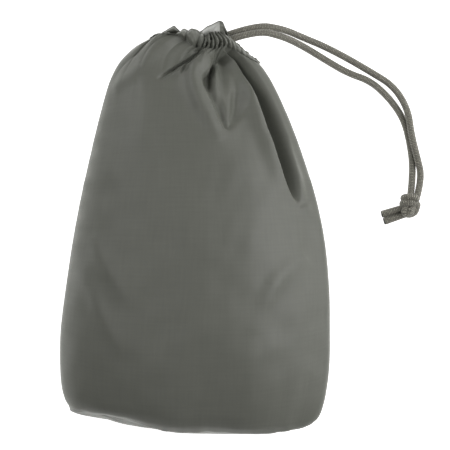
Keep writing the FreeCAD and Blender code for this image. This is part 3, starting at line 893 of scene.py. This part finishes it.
def make_front():
    """The front panel with its folds, and where each of its columns crosses the mouth seam."""
    rows, from_mouth = body_rows(FRONT_ROWS)
    to_foot = from_mouth[0] - from_mouth
    angles = columns_of(FRONT_COLUMNS)
    at_mouth = mouth_x(angles)
    grid = panel(rows, angles, FRONT_CREST)
    x, y = grid[..., 0], grid[..., 1]
    y += fading(to_foot, FOOT_REACH) * np.interp(x, *zip(*FOOT_LINE))
    y += fading(from_mouth, MOUTH_REACH) * np.interp(at_mouth, *zip(*MOUTH_LINE))
    bend_down(grid)
    normal = normals_of(grid)
    move, lean = fold_cloth(grid)
    # The folds end in the mouth seam, and the pleats start from it.
    move *= 1 - 0.75 * fading(from_mouth, 2.5)
    pleat, width, _, _ = pleats(at_mouth, FRONT_PLEATS)
    move += 0.8 * pleat * fading(from_mouth, np.maximum(width * 1.3, 5.0)) - 1.8 * fading(from_mouth, 1.8)
    move += wrinkles(x, y, FRONT_WRINKLES)
    fade = fading(from_mouth, MOUTH_WRINKLES_REACH)
    move += wrinkles(at_mouth + 0 * y, from_mouth + 0 * x, MOUTH_WRINKLES) * fade
    to_side = (1 - np.abs(np.sin(angles))) * HALF_WIDTH
    move += puckers(to_side, y, *SIDE_PUCKERS)
    ridge, ridge_place, ridge_half_width = FOOT_RIDGE
    move += puckers(to_foot, x, *FOOT_PUCKERS) + ridge * hump(to_foot - ridge_place, ridge_half_width)
    inside = smoothstep(-1.0, 17.0, grid[..., 2:] - SEAM_HEIGHT)
    return relaxed(grid + (normal * move[..., None] + lean) * inside, 2), at_mouth


def make_back():
    """The back panel, which the bag lies on, and where each of its columns crosses the mouth seam."""
    rows, from_mouth = body_rows(BACK_ROWS)
    angles = columns_of(BACK_COLUMNS)
    at_mouth = mouth_x(angles)
    grid = panel(rows, angles, BACK_CREST)
    pleat, width, _, _ = pleats(at_mouth, BACK_PLEATS)
    off_floor = smoothstep(0.4, 12.0, grid[..., 2])
    move = off_floor * wrinkles(grid[..., 0], grid[..., 1], BACK_WRINKLES)
    move += pleat * fading(from_mouth, width * 2.4)
    move *= np.minimum(1, np.cos(angles)[None] * 5 + 0.02)
    grid = grid - normals_of(grid) * move[..., None]
    grid[..., 2] = np.maximum(grid[..., 2], FLOOR_GAP)
    return relaxed(grid, 2), at_mouth


def make_channel(edge, at_mouth, table, lip_line, side):
    """The gathered channel past the mouth seam: out along its pleats to the lip, over it, and back inside.

    side is 1 for the front, and -1 for the back.
    """
    angles = columns_of(len(at_mouth))
    t = np.linspace(0, CHANNEL_TURN, CHANNEL_ROWS)[:, None]
    out = np.minimum(t, 2.0 - t)
    pleat, width, q, which = pleats(at_mouth, table)
    fresh = np.random.default_rng(31 + side).uniform(-1, 1, (4, len(table)))[:, which]
    where, *lip, arch, bow = (np.array(column, float) for column in zip(*lip_line))
    lip = read_at(at_mouth, where, np.stack(lip, axis=1))
    grid = edge + (lip - edge) * out[..., None]
    grid[..., 0] += np.interp(at_mouth, where, bow) * midway(out)
    arch = np.interp(at_mouth, where, arch) * midway(out)
    if side < 0:
        round_cord = np.interp(at_mouth, *ROUND_CORD) * midway(out) * smoothstep(1.15, 0.9, t)
        arch = arch * smoothstep(0.9, 1.15, t) - ROUND_CORD_DOWN * round_cord
        grid[..., 1] += ROUND_CORD_OUT * round_cord
    grid[..., 2] += arch
    outward = np.stack([0.35 * np.sin(angles), 0.1 + 0 * angles, side * np.cos(angles) ** 0.5], axis=1)
    outward /= np.linalg.norm(outward, axis=1, keepdims=True)
    # The cloth dips into the mouth seam, swells past it, and is crumpled between its pleats.
    rise = 1.4 * np.sin(math.pi * out) ** 0.7 - 1.8 * fading(out, 0.1)
    rise = rise + pleat * (0.75 + 0.25 * np.cos(2 * math.pi * out))
    rise += 0.45 * ripples(grid[..., 0] * 1.6, grid[..., 1], 5.0, 51 + side) * smoothstep(0.0, 0.2, out)
    if side > 0:
        for pit_x, pit_y, pit_depth, half_width in PITS:
            rise -= pit_depth * hump(np.hypot(grid[..., 0] - pit_x, grid[..., 1] - pit_y), half_width)
    rise = rise * np.minimum(1, np.cos(angles) * 4 + 0.05)
    grid += outward * rise[..., None]
    # The pleats sway and differ in length. Those of the front are held tighter.
    sway = 0.3 if side > 0 else 0.2 * np.minimum(width, 9)
    grid[..., 0] += sway * (fresh[0] * np.sin(math.pi * out) + np.sin(2 * math.pi * q) * out)
    depth = np.array([row[1] for row in table], float)[which]
    longer = 0.15 * fresh[1] * midway(q) - 0.3 * np.exp(-9 * q * (1 - q))
    grid[..., 1] += depth * longer * out**3
    grid[..., 2] += side * 0.25 * depth * fresh[2] * out * midway(q)
    # The lip is rounded, and the cloth comes back just under itself.
    grid -= outward * 1.3 * smoothstep(1.0, 1.12, t)[..., None]
    grid[..., 1] += 0.9 * np.sqrt(np.clip(1 - ((t - 1.0) / 0.08) ** 2, 0, 1))
    return relaxed(grid, 1)


def make_base(front_edge, back_edge):
    """The base panel: a shallow dome over the oval of the foot seam, flatter on its left."""
    seam = np.vstack([front_edge, back_edge[::-1][1:-1]])
    soft = sum(np.roll(seam, shift, axis=0) for shift in range(-24, 25)) / 49
    centre = np.array(BASE_CENTRE)
    t = np.linspace(0, 1, BASE_ROWS)[:, None]
    eased = smoothstep(0.0, 0.6, t)[..., None]
    rim = seam * (1 - eased) + soft * eased
    to_right = smoothstep(40.0, 105.0, rim[..., 0])
    keep = (1 - t) * (1 - to_right) + np.cos(t * math.pi / 2) * to_right
    grid = centre + (rim - centre) * keep[..., None]
    depth = np.sin(t ** (1.5 - 0.5 * to_right) * math.pi / 2)
    grid[..., 1] = rim[..., 1] + (centre[1] - rim[..., 1]) * depth
    grid[..., 1] += 0.7 * ripples(grid[..., 0], grid[..., 2], 34.0, 41) * t
    # The base stands out below the raised left part of the foot seam.
    bulge_x, bulge_half_width, bulge = BASE_BULGE
    shown = smoothstep(0.0, 0.25, t) * (1 - t) ** 0.5
    grid[..., 1] -= bulge * hump(grid[..., 0] - bulge_x, bulge_half_width) * shown
    grid[..., 2] = np.maximum(grid[..., 2], FLOOR_GAP)
    return grid


def dashes(name, places, headings, normals, replaced, length=1.9, radius=0.3, around=8):
    """Short stitches of thread, each a rounded bar lying on the cloth."""
    angle = np.linspace(0, 2 * math.pi, around, endpoint=False)
    faces = grid_faces(len(STITCH_PROFILE), around, closed=True).tolist()
    parts = []
    for place, heading, normal in zip(places, headings, normals):
        heading = Vector(heading).normalized()
        up = (Vector(normal) - heading * Vector(normal).dot(heading)).normalized()
        side = heading.cross(up)
        points = []
        for along, wide in STITCH_PROFILE:
            for a in angle:
                round_bar = (side * math.cos(a) + up * math.sin(a)) * radius * wide
                points.append(list((Vector(place) + heading * along * length + round_bar) * MM))
        parts.append((points, faces, [(0, 0)] * len(points)))
    return finish_piece(joined(name, parts, THREAD), "bag", replaced)


def inwards_from_foot(edge):
    """Up into the bag and a little towards its middle, at each point of the foot seam."""
    towards = (np.array(BASE_CENTRE) - edge) * (1.0, 0.0, 1.0)
    towards /= np.linalg.norm(towards, axis=1, keepdims=True)
    return 0.35 * towards + np.array([0.0, 0.94, 0.0])


def make_allowance(name, edge, inward):
    """A narrow strip of cloth inside the bag along a seam, and the stitches through it."""
    t = np.linspace(0.08, 1.0, 8)[:, None, None]
    grid = edge[None] + inward[None] * ALLOWANCE_WIDTH * t
    strip = f"{name}_seam_allowance"
    piece = grid_piece(strip + "_cloth", grid, ALLOWANCE_CLOTH, [strip], "seam_cloth")
    stitches = seam_row(grid, ALLOWANCE_STITCH_ROW)
    return [piece, dashes(f"{name}_seam_stitches", *stitches, [f"{name}_seam_stitching"])]


def seam_row(grid, row):
    """Places, headings and normals for stitches along one row of a grid."""
    line = grid[row]
    lengths = distances_along(line)
    wanted = np.arange(STITCH_PITCH, lengths[-1] - STITCH_PITCH, STITCH_PITCH)
    columns = line, np.gradient(line, axis=0), normals_of(grid)[row]
    return [read_at(wanted, lengths, values) for values in columns]


front_grid, front_x = make_front()
back_grid, back_x = make_back()
for column in (0, -1):
    places = np.linspace(0, 1, FRONT_ROWS)
    back_grid[:, column] = read_at(np.linspace(0, 1, BACK_ROWS), places, front_grid[:, column])
front = cloth_piece("front_panel", front_grid)
back = cloth_piece("back_panel", back_grid, flip=True)

channel_front_grid = make_channel(front_grid[-1], front_x, FRONT_PLEATS, FRONT_LIP, 1)
channel_back_grid = make_channel(back_grid[-1], back_x, BACK_PLEATS, BACK_LIP, -1)
channel_front = cloth_piece("channel_front", channel_front_grid)
# The paler patch on the back channel's lip is a painted highlight.
lining = (int(CHANNEL_ROWS / CHANNEL_TURN * HIGHLIGHT_FROM), HIGHLIGHT_COLUMNS)
channel_back = cloth_piece("channel_back", channel_back_grid, flip=True, lining=lining)

base_grid = make_base(front_grid[0], back_grid[0])
closed = np.concatenate([base_grid, base_grid[:, :1]], axis=1)
base = cloth_piece("base_panel", closed, flip=True)

# Each seam's allowance, a strip turned to the inside, with its row of stitches.
foot_edge = np.concatenate([base_grid[0], base_grid[0, :1]])
base_strip = make_allowance("base", foot_edge, inwards_from_foot(foot_edge))
side_strips = make_allowance("left", front_grid[:, 0], np.array([[1.0, 0.0, 0.0]]))
side_strips += make_allowance("right", front_grid[:, -1], np.array([[-1.0, 0.0, 0.0]]))

rows = zip(seam_row(channel_front_grid, CHANNEL_STITCH_ROW), seam_row(channel_back_grid, CHANNEL_STITCH_ROW))
channel_thread = dashes("channel_stitches", *(np.vstack(pair) for pair in rows), ["channel_stitching"])

# A bartack on each part of the channel, where the cord leaves it.
tacks = [(channel_front_grid, FRONT_TACK), (channel_back_grid, BACK_TACK)]
places, normals = zip(*((grid[at], normals_of(grid)[at]) for grid, at in tacks))
dashes(
    "exit_bartack_threads", places, [TACK_HEADING] * 2, normals, ["exit_bartacks"], length=5.0, radius=0.55
)

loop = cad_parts["drawcord_loop"]
loop.data.materials.clear()
loop.data.materials.append(CORD)

# ------------ floor and light


def make_stage():
    """A white floor that glows softly, so that it stays white round the bag."""
    material = bpy.data.materials.new("light_table")
    material.use_nodes = True
    tree = material.node_tree
    tree.nodes.clear()
    out = node(tree, "ShaderNodeOutputMaterial", (400, 0))
    glow = node(tree, "ShaderNodeEmission", (0, 100), Color=(1, 1, 1, 1), Strength=1.0)
    matte = node(tree, "ShaderNodeBsdfDiffuse", (0, -100), Color=(0.85, 0.85, 0.85, 1))
    both = node(tree, "ShaderNodeAddShader", (200, 0))
    tree.links.new(glow.outputs[0], both.inputs[0])
    tree.links.new(matte.outputs[0], both.inputs[1])
    tree.links.new(both.outputs[0], out.inputs[0])
    mesh = bpy.data.meshes.new("floor")
    corners = [(-3.0, -3.0, 0), (3.0, -3.0, 0), (3.0, 3.0, 0), (-3.0, 3.0, 0)]
    mesh.from_pydata(corners, [], [(0, 1, 2, 3)])
    mesh.materials.append(material)
    linked("floor", mesh)


# The softboxes, in metres: name, place, width, height and watts. All are turned to one point in the bag.
SOFTBOXES = [
    ("right_box", (1.0, 0.1, 0.8), 0.5, 1.0, 10.0),
    ("right_corner_box", (0.9, 0.8, 0.7), 0.6, 0.6, 3.4),
    ("left_upper_box", (-0.6, 0.0, 1.3), 0.6, 1.0, 3.8),
    ("left_corner_box", (-0.9, 0.8, 0.7), 0.6, 0.6, 6.2),
    ("foot_box", (0.0, -1.0, 0.9), 1.0, 0.5, 1.2),
]
LIT_POINT = (0, 0, 0.05)


def make_lights():
    """Soft light from the right, the mouth's two corners, above the left side and the foot."""
    for name, place, width, height, watts in SOFTBOXES:
        data = bpy.data.lights.new(name, "AREA")
        data.shape, data.size, data.size_y, data.energy = "RECTANGLE", width, height, watts
        made = linked(name, data)
        made.location = place
        made.rotation_mode = "QUATERNION"
        made.rotation_quaternion = (Vector(LIT_POINT) - Vector(place)).to_track_quat("-Z", "Y")
    world = bpy.data.worlds.new("studio")
    world.use_nodes = True
    background = world.node_tree.nodes["Background"]
    set_inputs(world.node_tree, background, Color=(1, 1, 1, 1), Strength=0.02)
    bpy.context.scene.world = world
    bpy.context.scene.view_settings.view_transform = "Standard"


make_stage()
make_lights()
